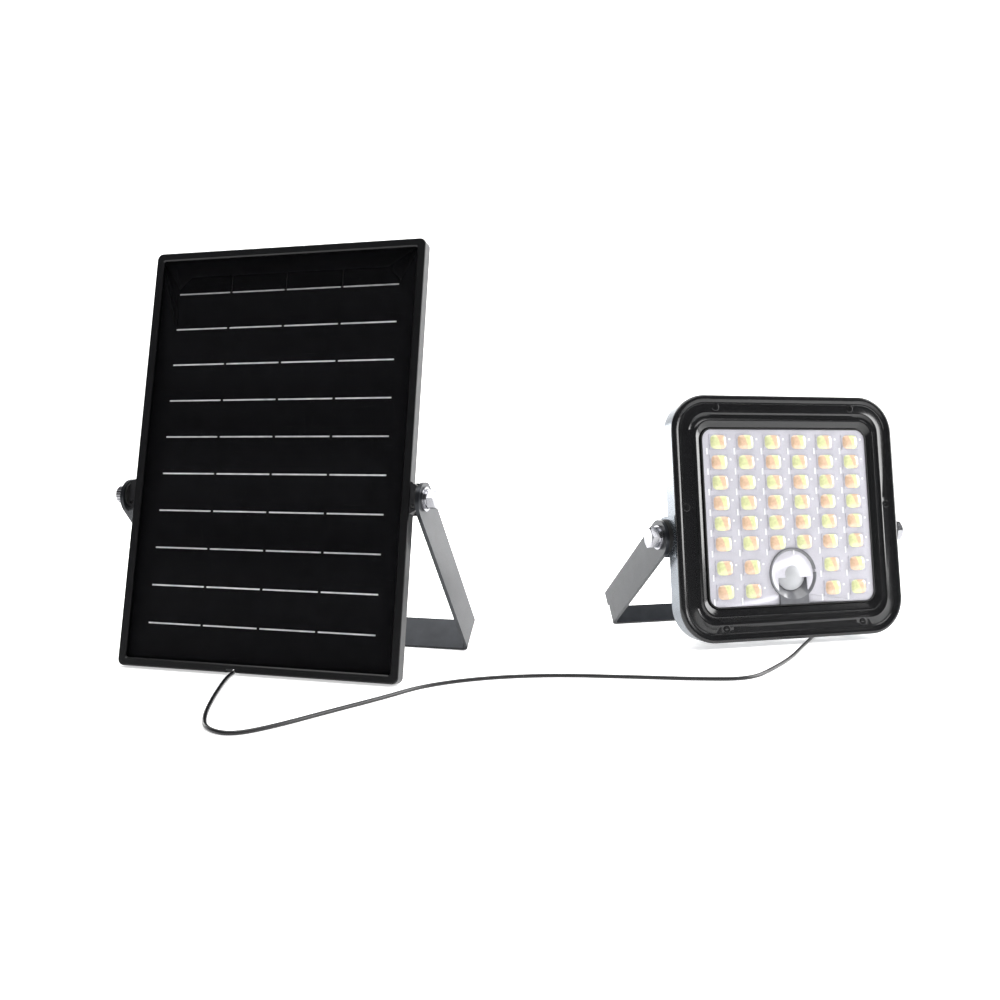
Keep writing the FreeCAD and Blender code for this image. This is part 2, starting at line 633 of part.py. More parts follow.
def lens_plate():
    """Clear plate with one raised lens over each pair of LEDs."""
    plate = rounded_block(WINDOW_W, WINDOW_H, WINDOW_R, LENS_FRONT, LENS_BACK, LAMP_MID_Z)
    flange = rounded_ring(around(3.8), (WINDOW_W, WINDOW_H, WINDOW_R), LENS_FRONT + 1.0,
                          LENS_BACK, LAMP_MID_Z)
    domes = []
    for x, z, _ in lens_spots():
        dome = rounded_block(LENS_W, LENS_H, 4.0, LENS_FRONT - LENS_RISE, LENS_FRONT, z)
        dome = dome.makeFillet(1.7, edges_at_depth(dome, LENS_FRONT - LENS_RISE))
        dome.translate(V(x, 0, 0))
        domes.append(dome)
    whole = plate.fuse([flange] + domes)
    return whole.cut(sensor_outline(0.2, LENS_FRONT - LENS_RISE - 1, LENS_BACK))


def mirror_plate():
    """Bright reflector sheet with a square window over each pair of LEDs."""
    sheet = rounded_block(WINDOW_W, WINDOW_H, WINDOW_R, LENS_BACK, MIRROR_BACK, LAMP_MID_Z)
    cuts = [box(x - 5.6, x + 5.6, LENS_BACK, MIRROR_BACK, z - 4.2, z + 4.2)
            for x, z, _ in lens_spots()]
    cuts.append(rod_y(LENS_BACK, MIRROR_BACK, BOARD_HOLE_R, 0, SENSOR_MID_Z))
    return sheet.cut(cuts)


def led_board():
    board = rounded_block(WINDOW_W - 2, WINDOW_H - 2, 6.0, BOARD_FRONT, BOARD_BACK, LAMP_MID_Z)
    cuts = [rod_y(BOARD_FRONT, BOARD_BACK, BOARD_HOLE_R, 0, SENSOR_MID_Z)]
    for x, z in board_screw_spots():
        cuts.append(rod_y(BOARD_FRONT, BOARD_BACK, 1.7, x, z))
    return board.cut(cuts)


def leds(warm):
    """One LED of each colour behind every lens; neighbours have the two sides swapped."""
    chips = []
    for x, z, swapped in lens_spots():
        side = 1 if warm != bool(swapped) else -1
        mid = x + side * 2.7
        chips.append(box(mid - 2.4, mid + 2.4, LED_FRONT, BOARD_FRONT, z - 2.8, z + 2.8))
    return group(chips)


def board_screw_spots():
    return [(x, LAMP_MID_Z + z) for x in (-52.4, 52.4) for z in (-54.0, 56.3)]


def led_board_screws():
    screws = []
    for x, z in board_screw_spots():
        head = rod_y(BOARD_FRONT - 0.8, BOARD_FRONT, 2.8, x, z)
        screws.append(head.fuse(rod_y(BOARD_FRONT, BOARD_BACK + 6.0, 1.5, x, z)))
    return group(screws)


# ---- lamp: motion sensor ----
RING_FRONT = LENS_FRONT - 1.2
FUNNEL_BACK = LENS_FRONT + 4.4
FUNNEL_R = SENSOR_DOME_R + 0.2
BOARD_HOLE_R = 19.5


def sensor_ring():
    """Grey keyhole-shaped funnel around the sensor's dome, with one index notch."""
    ring = sensor_outline(0.0, RING_FRONT, LENS_BACK)
    tube = rod_y(LENS_BACK, FUNNEL_BACK, BOARD_HOLE_R - 0.3, 0, SENSOR_MID_Z)
    funnel = Part.makeCone(SENSOR_RING_R - 1.0, FUNNEL_R, FUNNEL_BACK - RING_FRONT,
                           V(0, RING_FRONT, SENSOR_MID_Z), V(0, 1, 0))
    throat = rod_y(RING_FRONT, FUNNEL_BACK, FUNNEL_R, 0, SENSOR_MID_Z)
    notch = box(18.6, SENSOR_RING_R + 1, RING_FRONT - 1, RING_FRONT + 1.2,
                SENSOR_MID_Z + 1.0, SENSOR_MID_Z + 3.6)
    return ring.fuse(tube).cut([funnel, throat, notch])


def sensor_dome():
    """Hollow frosted dome over the sensor, seated in the funnel's throat."""
    rise = 4.6
    radius = (SENSOR_DOME_R ** 2 + rise ** 2) / (2 * rise)
    base_y = FUNNEL_BACK - 1.0

    def cap(shrink):
        ball = Part.makeSphere(radius - shrink, V(0, base_y - rise + radius, SENSOR_MID_Z))
        return ball.common(rod_y(base_y - rise - 1, base_y, SENSOR_DOME_R - shrink,
                                 0, SENSOR_MID_Z))

    skirt = rod_y(base_y, FUNNEL_BACK + 1.6, SENSOR_DOME_R, 0, SENSOR_MID_Z)
    skirt = skirt.cut(rod_y(base_y - 1, FUNNEL_BACK + 2, SENSOR_DOME_R - 1.2, 0, SENSOR_MID_Z))
    return cap(0.0).cut(cap(1.2)).fuse(skirt).removeSplitter()


SENSOR_FRONT = FUNNEL_BACK - 2.2
PIN_TURNS = (0.5, 2.6, 4.7)
PIN_CIRCLE_R = 1.8


def pin_spots():
    return [(PIN_CIRCLE_R * math.cos(a), SENSOR_MID_Z + PIN_CIRCLE_R * math.sin(a))
            for a in PIN_TURNS]


def motion_sensor():
    """Pyroelectric sensor can with its window and three pins."""
    front = SENSOR_FRONT
    can = rod_y(front, front + 4.0, 4.1, 0, SENSOR_MID_Z)
    can = can.fuse(rod_y(front + 4.0, front + 4.6, 4.7, 0, SENSOR_MID_Z))
    pins = [rod_y(front + 4.6, front + 7.6, 0.25, x, z) for x, z in pin_spots()]
    window = box(-2, 2, front, front + 0.4, SENSOR_MID_Z - 1.5, SENSOR_MID_Z + 1.5)
    return can.fuse(pins).cut(window)


def sensor_board():
    front = SENSOR_FRONT + 5.6
    board = box(-17, 17, front, front + 1.2, SENSOR_MID_Z - 14, SENSOR_MID_Z + 14)
    return board.cut([rod_y(front, front + 1.2, 0.3, x, z) for x, z in pin_spots()])


# ---- lamp: rear shell ----
BOSS_OUT = 0.6             # the side bosses stand out this far past the cover's side
BOSS_R = 17.5
LAMP_HALF = LAMP_W / 2
BOSS_FACE = LAMP_HALF + BOSS_OUT
BOSS_ROOT = LAMP_HALF - 20.0
RIM_IN = 7.0               # width of the solid land around the shell's hollow rim
LAMP_ARM_IN = LAMP_HALF + LAMP_ARM_GAP
LAMP_ARM_OUT = LAMP_ARM_IN + STRIP_T
BOX_LOW = LAMP_MID_Z - REAR_BOX_H / 2
GLAND_Y = 7.3
NUT_SEAT = BOX_LOW + SHELL_WALL + 3.2   # the gland's nut sits on a raised pad
OUTER_FINS = (58.0, 67.0, 76.0, 85.0)
LOWER_FINS = (-38.0, -24.0, -10.0)


def shell_fins():
    """Upright cooling fins beside the rear box, and short ones below it; they carry the lamp."""
    fins = []
    low = -LAMP_PIVOT_UP
    for x in OUTER_FINS:
        drop = max(0.0, x - 72.0) * 0.9
        top = LAMP_MID_Z + LAMP_H / 2 - 8 - drop
        for side in (-1, 1):
            mid = side * x
            fins.append(box(mid - FIN_T / 2, mid + FIN_T / 2, SHELL_BACK - 1, FIN_BACK,
                            low + drop, top))
    for x in LOWER_FINS:
        fins.append(box(x - FIN_T / 2, x + FIN_T / 2, SHELL_BACK - 1, FIN_BACK, low, BOX_LOW + 2))
    return fins


def lamp_shell():
    """Die-cast rear shell: drafted walls, rear box, fins, side bosses and screw posts."""
    back = inset(SHELL_DRAFT)
    outside = Part.makeLoft([rounded_wire(LAMP_W, LAMP_H, LAMP_CORNER_R, SHELL_FRONT, LAMP_MID_Z),
                             rounded_wire(*back, SHELL_BACK, LAMP_MID_Z)], True, True)
    seat = rounded_block(*inset(COVER_STEP - 0.4), SHELL_FRONT, SEAL_BACK, LAMP_MID_Z)
    cavity = rounded_block(*around(3.8), SHELL_FRONT, SHELL_BACK - SHELL_WALL, LAMP_MID_Z)
    rear = rounded_block(REAR_BOX_W, REAR_BOX_H, 10.0, SHELL_BACK - 1, REAR_BOX_BACK, LAMP_MID_Z)
    rear = rear.makeFillet(3.0, edges_at_depth(rear, REAR_BOX_BACK))
    rear_in = rounded_block(REAR_BOX_W - 2 * SHELL_WALL, REAR_BOX_H - 2 * SHELL_WALL, 7.5,
                            SHELL_FRONT, REAR_BOX_BACK - SHELL_WALL, LAMP_MID_Z)
    boss = rod_x(BOSS_ROOT, BOSS_FACE, BOSS_R)
    boss = boss.fuse(box(BOSS_ROOT, BOSS_FACE, SHELL_FRONT + 0.6, 0, -BOSS_R, BOSS_R))
    gutter = rounded_ring(inset(RIM_IN), around(RIM_IN), SEAL_BACK, SHELL_BACK - SHELL_WALL,
                          LAMP_MID_Z)
    inner_boss = rod_x(BOSS_ROOT, LAMP_HALF - RIM_IN + 1, 9.0)
    ribs = [inner_boss, mirrored(inner_boss)]
    ribs += [rod_y(SEAL_BACK, SHELL_BACK - 1, 5.0, x, z) for x, z in screw_spots()]
    body = outside.cut([seat, cavity, gutter]).fuse(ribs)
    boss = boss.cut(box(BOSS_ROOT - 1, LAMP_HALF - RIM_IN, -LAMP_W, LAMP_W, -LAMP_H, LAMP_H))
    body = body.fuse([rear, boss, mirrored(boss)] + shell_fins()).cut([rear_in, seat])
    body = body.fuse(rod_z(BOX_LOW, NUT_SEAT, 6.0, LAMP_GLAND_X, GLAND_Y))
    posts = [rod_y(BOARD_BACK, SHELL_BACK - 1.0, 3.6, x, z) for x, z in board_screw_spots()]
    body = body.fuse(posts)
    bore = rod_x(BOSS_ROOT, BOSS_FACE + 1, M10_R + 0.05)
    cuts = [bore, mirrored(bore)]
    cuts += [rod_y(SEAL_BACK - 1, SEAL_BACK + 9.0, 2.02, x, z) for x, z in screw_spots()]
    cuts += [rod_y(BOARD_BACK - 1, BOARD_BACK + 7.0, 1.52, x, z) for x, z in board_screw_spots()]
    cuts.append(rod_z(BOX_LOW - 1, NUT_SEAT + 1, 4.0, LAMP_GLAND_X, GLAND_Y))
    cuts.append(rod_y(REAR_BOX_BACK - SHELL_WALL - 1, REAR_BOX_BACK + 1, BUTTON_R + 1.3,
                      BUTTON_X, BUTTON_Z))
    return body.cut(cuts)


def lamp_gland():
    return cable_gland(V(LAMP_GLAND_X, GLAND_Y, BOX_LOW), V(0, 0, -1))


def lamp_gland_nut():
    ring = hexagon(GLAND_NUT_FLATS, V(LAMP_GLAND_X, GLAND_Y, NUT_SEAT), V(0, 0, 1), 3.0)
    stub = rod_z(BOX_LOW, NUT_SEAT + 3, 3.95, LAMP_GLAND_X, GLAND_Y)
    return ring.fuse(stub)


# ---- lamp: inside ----
CELL_R = 9.15
CELL_LENGTH = 65.0
CELLS_Z = (LAMP_MID_Z - 40.0, LAMP_MID_Z - 20.5)
CELLS_Y = 2.0


def battery_cells():
    """Two cylindrical lithium cells side by side, each with its raised positive cap."""
    cells = []
    for z in CELLS_Z:
        can = rod_x(-34.0, -34.0 + CELL_LENGTH - 1.5, CELL_R, CELLS_Y, z)
        cells.append(can.fuse(rod_x(-35.5, -34.0, 3.0, CELLS_Y, z)))
    return group(cells)


def battery_holder():
    """Moulded cradle under the cells with an end wall at each side."""
    low, high = CELLS_Z[0] - CELL_R - 1.2, CELLS_Z[1] + CELL_R + 1.2
    cradle = box(-38.0, 33.0, CELLS_Y, CELLS_Y + CELL_R + 1.4, low, high)
    for z in CELLS_Z:
        cradle = cradle.cut(rod_x(-36.2, 31.2, CELL_R + 0.15, CELLS_Y, z))
    return cradle


CONTROL_BACK = 3.3


def control_board():
    """Charge and lamp controller board."""
    low = LAMP_MID_Z + 4.0
    board = box(-40, 40, CONTROL_BACK - 1.6, CONTROL_BACK, low, low + 48)
    return board


def control_parts():
    """Inductor, two capacitors, driver chip and the switch under the button."""
    low = LAMP_MID_Z + 4.0
    front = CONTROL_BACK - 1.6
    parts = [rod_y(front - 6.0, front, 6.0, 22, low + 34)]
    parts += [rod_y(front - 8.0, front, 3.1, x, low + 12) for x in (8, 18)]
    parts.append(box(-12, -4, front - 1.6, front, low + 26, low + 34))
    switch = box(BUTTON_X - 3, BUTTON_X + 3, CONTROL_BACK, CONTROL_BACK + 4.0,
                 BUTTON_Z - 3, BUTTON_Z + 3)
    parts.append(switch)
    return group(parts)


def wire_connectors():
    """White wire-to-board plugs for the panel cable, the cells and the LED board."""
    low = LAMP_MID_Z + 4.0
    front = CONTROL_BACK - 1.6
    return group([box(x, x + 8, front - 6, front, low + 1.5, low + 7.5) for x in (-36, -24, 27)])


def power_button():
    """Push button: cap in the rear wall with a stem down to the switch."""
    cap = rod_y(REAR_BOX_BACK - 3.4, REAR_BOX_BACK + 1.4, BUTTON_R, BUTTON_X, BUTTON_Z)
    cap = cap.makeFillet(0.8, edges_at_depth(cap, REAR_BOX_BACK + 1.4))
    stem = rod_y(CONTROL_BACK + 5.8, REAR_BOX_BACK - 3.4, 1.6, BUTTON_X, BUTTON_Z)
    return cap.fuse(stem)


def button_seal():
    """Rubber collar that lines the button's hole."""
    collar = rod_y(REAR_BOX_BACK - SHELL_WALL, REAR_BOX_BACK, BUTTON_R + 1.3, BUTTON_X, BUTTON_Z)
    brim = rod_y(REAR_BOX_BACK, REAR_BOX_BACK + 0.8, BUTTON_R + 2.6, BUTTON_X, BUTTON_Z)
    hole = rod_y(REAR_BOX_BACK - 3, REAR_BOX_BACK + 1, BUTTON_R + 0.3, BUTTON_X, BUTTON_Z)
    return collar.fuse(brim).cut(hole)


# ---- cable ----
def cable(first_end, last_end):
    """Tube along straight runs joined by tangent arcs, each as large as its runs allow."""
    points = [first_end] + [V(*p) for p in CABLE_ROUTE] + [last_end]
    print("cable ends", first_end, last_end)
    edges = []
    start = points[0]
    radii = []
    for before, corner, after in zip(points, points[1:], points[2:]):
        back = before - corner
        ahead = after - corner
        shorter = min(back.Length, ahead.Length)
        cut_back = 0.45 * shorter
        turn = math.pi - back.getAngle(ahead)
        radius = cut_back / math.tan(turn / 2)
        back.normalize()
        ahead.normalize()
        enter = corner + back * cut_back
        leave = corner + ahead * cut_back
        middle_way = back + ahead
        middle_way.normalize()
        to_centre = radius / math.cos(turn / 2)
        middle = corner + middle_way * (to_centre - radius)
        edges.append(Part.LineSegment(start, enter).toShape())
        edges.append(Part.Arc(enter, middle, leave).toShape())
        start = leave
        radii.append(radius)
    edges.append(Part.LineSegment(start, points[-1]).toShape())
    path = Part.Wire(edges)
    first = points[1] - points[0]
    ring = Part.Wire([Part.makeCircle(CABLE_R, points[0], first)])
    tube = path.makePipeShell([ring], True, False, 1)
    whole = math.pi * CABLE_R ** 2 * path.Length
    print("cable length %.1f, radii %s" % (path.Length, [round(r, 1) for r in radii]))
    print("cable volume %.1f of %.1f, valid %s" % (tube.Volume, whole, tube.isValid()))
    return tube


# ---- putting the assemblies in place ----
def lean_and_place(shape, lean, yaw, pivot):
    placed = shape.copy()
    placed.rotate(V(0, 0, 0), V(1, 0, 0), -lean)
    placed.rotate(V(0, 0, 0), V(0, 0, 1), yaw)
    placed.translate(pivot)
    return placed


def pivot_height(lean, back, up):
    """Height of a tilt axis whose lowest point is `back` behind and `up` below it."""
    angle = math.radians(lean)
    return back * math.sin(angle) + up * math.cos(angle)


def panel_pivot():
    angle = math.radians(PANEL_LEAN)
    ahead = PANEL_PIVOT_BACK * math.cos(angle) + PANEL_PIVOT_UP * math.sin(angle)
    height = pivot_height(PANEL_LEAN, FRAME_BACK, PANEL_PIVOT_UP)
    return V(PANEL_X, PANEL_Y + ahead, height)


def lamp_pivot():
    lean, yaw = math.radians(LAMP_LEAN), math.radians(LAMP_YAW)
    behind = LAMP_PIVOT_BACK * math.cos(lean) + LAMP_PIVOT_UP * math.sin(lean)
    height = pivot_height(LAMP_LEAN, FIN_BACK, LAMP_PIVOT_UP)
    return V(LAMP_X - behind * math.sin(yaw), LAMP_Y + behind * math.cos(yaw), height)


def panel_nodes():
    """Everything on the solar panel, upright about its tilt axis."""
    cells = solar_cells()
    ribbons = cell_ribbons()
    ear = panel_ear()
    stack = PANEL_ARM_OUT + FACE_CLEAR
    head = stack + FLAT_M8 + SPRING_M8
    spacer = washer_x(EAR_TIP, PANEL_ARM_IN - FACE_CLEAR - EAR_TIP, 10.5, M8_R + 0.1)
    flat = washer_x(stack, FLAT_M8, 9.0, M8_R + 0.2)
    return {
        "panel_frame": panel_frame(),
        "panel_glass": panel_glass(),
        "panel_encapsulant": encapsulant(cells, ribbons),
        "solar_cells": cells,
        "cell_ribbons": ribbons,
        "panel_backsheet": panel_backsheet(),
        "panel_seal": panel_seal(),
        "junction_box": junction_box(),
        "junction_box_lid": junction_box_lid(),
        "junction_box_screws": junction_box_screws(),
        "junction_terminals": junction_terminals(),
        "blocking_diode": blocking_diode(),
        "panel_gland": panel_gland(),
        "panel_gland_nut": panel_gland_nut(),
        "panel_ear_right": ear,
        "panel_ear_left": mirrored(ear),
        "panel_ear_screws": panel_ear_screws(),
        "panel_rubber_washers": both_sides(spacer),
        "panel_flat_washers": both_sides(flat),
        "panel_spring_washer": spring_washer(stack + FLAT_M8, SPRING_M8, 7.2, M8_R + 0.2),
        "panel_pivot_bolt": hex_bolt(PANEL_BOLT_TIP, head, M8_R, 13.0, 5.3),
        "panel_thumb_screw": mirrored(thumb_screw(PANEL_BOLT_TIP, stack + FLAT_M8 + FACE_CLEAR)),
    }


def lamp_nodes():
    """Everything on the lamp, upright about its tilt axis."""
    disc_t = (LAMP_ARM_IN - FACE_CLEAR - BOSS_FACE) / 2
    discs = [washer_x(BOSS_FACE, disc_t, 15.4, M10_R + 0.2),
             washer_x(BOSS_FACE + disc_t, disc_t, 14.6, M10_R + 0.2)]
    stack = LAMP_ARM_OUT + FACE_CLEAR
    head = stack + FLAT_M10 + SPRING_M10
    return {
        "lamp_shell": lamp_shell(),
        "shell_seal": shell_seal(),
        "lamp_cover": lamp_cover(),
        "lamp_cover_screws": lamp_cover_screws(),
        "window_seal": window_seal(),
        "lens_plate": lens_plate(),
        "mirror_plate": mirror_plate(),
        "led_board": led_board(),
        "leds_cool_white": leds(False),
        "leds_warm_white": leds(True),
        "led_board_screws": led_board_screws(),
        "sensor_ring": sensor_ring(),
        "sensor_dome": sensor_dome(),
        "motion_sensor": motion_sensor(),
        "sensor_board": sensor_board(),
        "battery_cells": battery_cells(),
        "battery_holder": battery_holder(),
        "control_board": control_board(),
        "control_parts": control_parts(),
        "wire_connectors": wire_connectors(),
        "power_button": power_button(),
        "button_seal": button_seal(),
        "lamp_gland": lamp_gland(),
        "lamp_gland_nut": lamp_gland_nut(),
        "lamp_rubber_discs": group(discs + [mirrored(d) for d in discs]),
        "lamp_flat_washers": both_sides(washer_x(stack, FLAT_M10, 10.4, M10_R + 0.25)),
        "lamp_spring_washers": both_sides(spring_washer(stack + FLAT_M10, SPRING_M10, 9.0,
                                                        M10_R + 0.25)),
        "lamp_pivot_bolts": both_sides(hex_bolt(LAMP_HALF - 14, head, M10_R, 17.0, 6.4)),
    }


def build():
    panel_at, lamp_at = panel_pivot(), lamp_pivot()
    nodes = {}
    for name, shape in panel_nodes().items():
        nodes[name] = lean_and_place(shape, PANEL_LEAN, 0.0, panel_at)
    for name, shape in lamp_nodes().items():
        nodes[name] = lean_and_place(shape, LAMP_LEAN, LAMP_YAW, lamp_at)
    panel_swing = standing_angle(panel_at.z, PANEL_ARM, PANEL_STRIP_W)
    lamp_swing = standing_angle(lamp_at.z, LAMP_ARM, LAMP_STRIP_W)
    strip = u_bracket(PANEL_ARM_IN, PANEL_STRIP_W, PANEL_STRIP_W, PANEL_ARM, M8_R, panel_swing)
    nodes["panel_bracket"] = lean_and_place(strip, 0.0, 0.0, panel_at)
    strip = u_bracket(LAMP_ARM_IN, LAMP_STRIP_W, LAMP_BASE_W, LAMP_ARM, M10_R, lamp_swing)
    nodes["lamp_bracket"] = lean_and_place(strip, 0.0, LAMP_YAW, lamp_at)
    panel_end = V(JBOX_GLAND_X, JBOX_AXIS_Y, JBOX_LOW - GLAND_LENGTH)
    lamp_end = V(LAMP_GLAND_X, GLAND_Y, BOX_LOW - GLAND_LENGTH)
    panel_end = lean_and_place(Part.Vertex(panel_end), PANEL_LEAN, 0.0, panel_at).Point
    lamp_end = lean_and_place(Part.Vertex(lamp_end), LAMP_LEAN, LAMP_YAW, lamp_at).Point
    nodes["cable"] = cable(panel_end, lamp_end)
    print("panel pivot", panel_at, "bracket swing %.2f" % panel_swing)
    print("lamp pivot", lamp_at, "bracket swing %.2f" % lamp_swing)
    return nodes


def main():
    os.makedirs("parts", exist_ok=True)
    nodes = build()
    whole = FreeCAD.BoundBox()
    for name, shape in nodes.items():
        solids = shape.Solids
        kept = solids[0] if len(solids) == 1 else Part.makeCompound(solids)
        kept.exportStep("parts/%s.step" % name)
        if name != "cable":
            whole.add(kept.BoundBox)
        print("%-22s solids %3d valid %s volume %.0f lowest %.3f" % (
            name, len(solids), kept.isValid(), kept.Volume, kept.BoundBox.ZMin))
    print("box without cable", whole)
    print("nodes", len(nodes))


main()
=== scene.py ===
import json
import math

import bpy
from mathutils import Matrix, Vector


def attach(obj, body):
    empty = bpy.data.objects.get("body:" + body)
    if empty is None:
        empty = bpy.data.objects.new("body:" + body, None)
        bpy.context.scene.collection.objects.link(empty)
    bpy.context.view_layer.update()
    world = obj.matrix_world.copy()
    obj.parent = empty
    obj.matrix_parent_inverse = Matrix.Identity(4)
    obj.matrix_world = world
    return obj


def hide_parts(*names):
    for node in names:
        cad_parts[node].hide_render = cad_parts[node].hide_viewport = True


MM = 0.001

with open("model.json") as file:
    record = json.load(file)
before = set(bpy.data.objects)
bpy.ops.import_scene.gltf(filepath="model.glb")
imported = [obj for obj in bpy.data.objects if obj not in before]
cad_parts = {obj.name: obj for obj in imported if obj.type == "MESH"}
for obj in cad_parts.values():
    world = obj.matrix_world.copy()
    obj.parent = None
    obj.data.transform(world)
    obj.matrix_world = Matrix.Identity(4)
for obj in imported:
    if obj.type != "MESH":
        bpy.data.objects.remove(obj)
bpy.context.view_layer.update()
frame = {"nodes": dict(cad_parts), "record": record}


# ---- camera ----
def add_camera():
    data = bpy.data.cameras.new("photo_view")
    data.lens = 35.14
    data.sensor_width = 36.0
    data.clip_start = 0.01
    camera = bpy.data.objects.new("photo_view", data)
    camera.location = (0.2005, -0.8472, 0.1690)
    camera.rotation_euler = (math.radians(86.93), 0.0, math.radians(16.13))
    bpy.context.collection.objects.link(camera)
    bpy.context.scene.camera = camera


add_camera()

# ---- cable ----
CABLE_RADIUS = 0.0014
CABLE_ROUTE = (
    (-0.1940, -0.1881, 0.0585),
    (-0.1940, -0.1915, 0.0400),
    (-0.1948, -0.1895, 0.0205),
    (-0.1942, -0.1885, 0.0014),
    (-0.1904, -0.2170, 0.0014),
    (-0.1754, -0.2540, 0.0014),
    (-0.1589, -0.2910, 0.0014),
    (-0.1434, -0.3220, 0.0014),
    (-0.1284, -0.3440, 0.0014),
    (-0.1074, -0.3510, 0.0014),
    (-0.0914, -0.3280, 0.0014),
    (-0.0739, -0.2875, 0.0014),
    (-0.0539, -0.2450, 0.0014),
    (-0.0404, -0.2080, 0.0014),
    (-0.0054, -0.1730, 0.0014),
    (0.0406, -0.1510, 0.0014),
    (0.0936, -0.1415, 0.0014),
    (0.1466, -0.1335, 0.0014),
    (0.1816, -0.1225, 0.0014),
    (0.1976, -0.0800, 0.0014),
    (0.2106, -0.0360, 0.0014),
    (0.2196, 0.0120, 0.0014),
    (0.2266, 0.0460, 0.0014),
    (0.2311, 0.0700, 0.0014),
    (0.2308, 0.0695, 0.0185),
    (0.2295, 0.0712, 0.0355),
)


def add_cable():
    data = bpy.data.curves.new("joining_cable", "CURVE")
    data.dimensions = "3D"
    data.bevel_depth = 1.0
    data.bevel_resolution = 5
    data.resolution_u = 12
    data.use_fill_caps = True
    spline = data.splines.new("NURBS")
    spline.points.add(len(CABLE_ROUTE) - 1)
    for point, place in zip(spline.points, CABLE_ROUTE):
        point.co = (*place, 1.0)
        point.radius = CABLE_RADIUS
    spline.order_u = 3
    spline.use_endpoint_u = True
    cable = bpy.data.objects.new("joining_cable", data)
    bpy.context.collection.objects.link(cable)
    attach(cable, "panel_and_lamp")
    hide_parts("cable")
    return cable


cable = add_cable()


# ---- where the lamp stands ----
def standing(pivot, lean, yaw):
    """Matrix from an assembly's own upright axes, in millimetres, to the row frame."""
    turn = Matrix.Rotation(math.radians(yaw), 4, "Z") @ Matrix.Rotation(math.radians(-lean), 4, "X")
    return Matrix.Translation(Vector(pivot) * MM) @ turn @ Matrix.Scale(MM, 4)


LAMP = standing((197.449, 50.912, 92.480), 7.5, 32.6)


# ---- materials ----
class Nodes:
    """Small helper that builds one material's node tree."""

    def __init__(self, name):
        self.material = bpy.data.materials.new(name)
        self.material.use_nodes = True
        self.tree = self.material.node_tree
        self.shader = self.tree.nodes["Principled BSDF"]
        self.place = self.add("ShaderNodeTexCoord").outputs["Object"]

    def add(self, kind, **settings):
        node = self.tree.nodes.new(kind)
        for key, value in settings.items():
            setattr(node, key, value)
        return node

    def link(self, source, target):
        self.tree.links.new(source, target)

    def noise(self, scale, detail=4.0, stretch=None):
        node = self.add("ShaderNodeTexNoise")
        node.inputs["Scale"].default_value = scale
        node.inputs["Detail"].default_value = detail
        source = self.place
        if stretch:
            mapping = self.add("ShaderNodeMapping")
            mapping.inputs["Scale"].default_value = stretch
            self.link(source, mapping.inputs["Vector"])
            source = mapping.outputs["Vector"]
        self.link(source, node.inputs["Vector"])
        return node.outputs["Fac"]

    def ramp(self, source, stops):
        node = self.add("ShaderNodeValToRGB")
        elements = node.color_ramp.elements
        while len(elements) < len(stops):
            elements.new(0.5)
        for element, (place, colour) in zip(elements, stops):
            element.position = place
            element.color = (*colour, 1.0)
        self.link(source, node.inputs["Fac"])
        return node.outputs["Color"]

    def spread(self, source, low, high):
        node = self.add("ShaderNodeMapRange")
        node.inputs["From Min"].default_value = 0.55
        node.inputs["From Max"].default_value = 0.7
        node.inputs["To Min"].default_value = low
        node.inputs["To Max"].default_value = high
        self.link(source, node.inputs["Value"])
        return node.outputs["Result"]

    def bump(self, source, strength, distance):
        node = self.add("ShaderNodeBump")
        node.inputs["Strength"].default_value = strength
        node.inputs["Distance"].default_value = distance
        self.link(source, node.inputs["Height"])
        self.link(node.outputs["Normal"], self.shader.inputs["Normal"])

    def set(self, **values):
        names = {"metallic": "Metallic", "specular": "Specular IOR Level", "alpha": "Alpha",
                 "coat": "Coat Weight", "coat_roughness": "Coat Roughness", "ior": "IOR",
                 "transmission": "Transmission Weight", "roughness": "Roughness"}
        for key, value in values.items():
            self.shader.inputs[names[key]].default_value = value


def scaled(colour, factor):
    return tuple(min(1.0, c * factor) for c in colour)


def plain_finish(name, colour, rough, vary=0.18, patch=90.0, grain=2500.0, depth=0.00002,
                 stretch=None, **values):
    """Mottled colour and gloss with a fine surface grain."""
    n = Nodes(name)
    patches = n.noise(patch, 5.0)
    n.link(n.ramp(patches, ((0.3, scaled(colour, 1 - vary)), (0.7, scaled(colour, 1 + vary)))),
           n.shader.inputs["Base Color"])
    fine = n.noise(grain, 3.0, stretch)
    n.link(n.spread(fine, max(0.02, rough * 0.8), min(1.0, rough * 1.25)),
           n.shader.inputs["Roughness"])
    n.bump(fine, 0.25, depth)
    n.set(**values)
    return n.material


